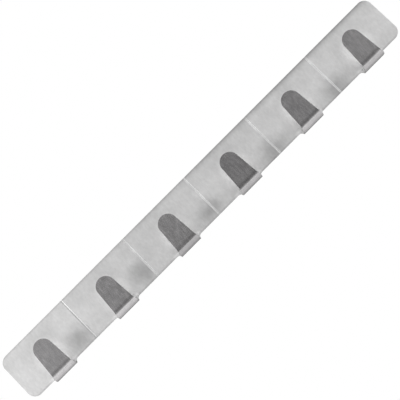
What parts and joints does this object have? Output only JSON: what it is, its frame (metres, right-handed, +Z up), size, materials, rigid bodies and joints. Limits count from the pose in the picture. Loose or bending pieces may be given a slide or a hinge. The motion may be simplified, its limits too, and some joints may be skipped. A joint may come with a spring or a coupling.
{
  "type": "magnetic hook rack",
  "caption": "Flat steel strip with round corners and a row of upturned J hooks on its lower edge, scored into snap-off sections, with magnet pads on its back.",
  "frame": {"origin": "centre of the magnetic back, on the back face of the magnet pads, halfway along the strip and halfway up it", "axes": "+X runs along the strip, to the right as seen from the front; +Y points out of the back, into the surface that the rack clings to; +Z is up, and the hooks open upwards"},
  "size_m": [0.4, 0.0134, 0.043],
  "materials": {
    "stainless_steel": "ferritic stainless sheet, satin brushed on its front, duller mill finish on its back, which is the outside of the hooks",
    "adhesive_film": "thin milky double-sided acrylic film",
    "magnet_rubber": "matt ferrite-filled rubber sheet"
  },
  "bodies": {
    "root": {"hook_section_1": "stainless_steel", "hook_section_2": "stainless_steel", "hook_section_3": "stainless_steel", "hook_section_4": "stainless_steel", "hook_section_5": "stainless_steel", "hook_section_6": "stainless_steel", "adhesive_film_1": "adhesive_film", "adhesive_film_2": "adhesive_film", "adhesive_film_3": "adhesive_film", "adhesive_film_4": "adhesive_film", "adhesive_film_5": "adhesive_film", "adhesive_film_6": "adhesive_film", "magnet_pad_1": "magnet_rubber", "magnet_pad_2": "magnet_rubber", "magnet_pad_3": "magnet_rubber", "magnet_pad_4": "magnet_rubber", "magnet_pad_5": "magnet_rubber", "magnet_pad_6": "magnet_rubber"}
  },
  "joints": []
}
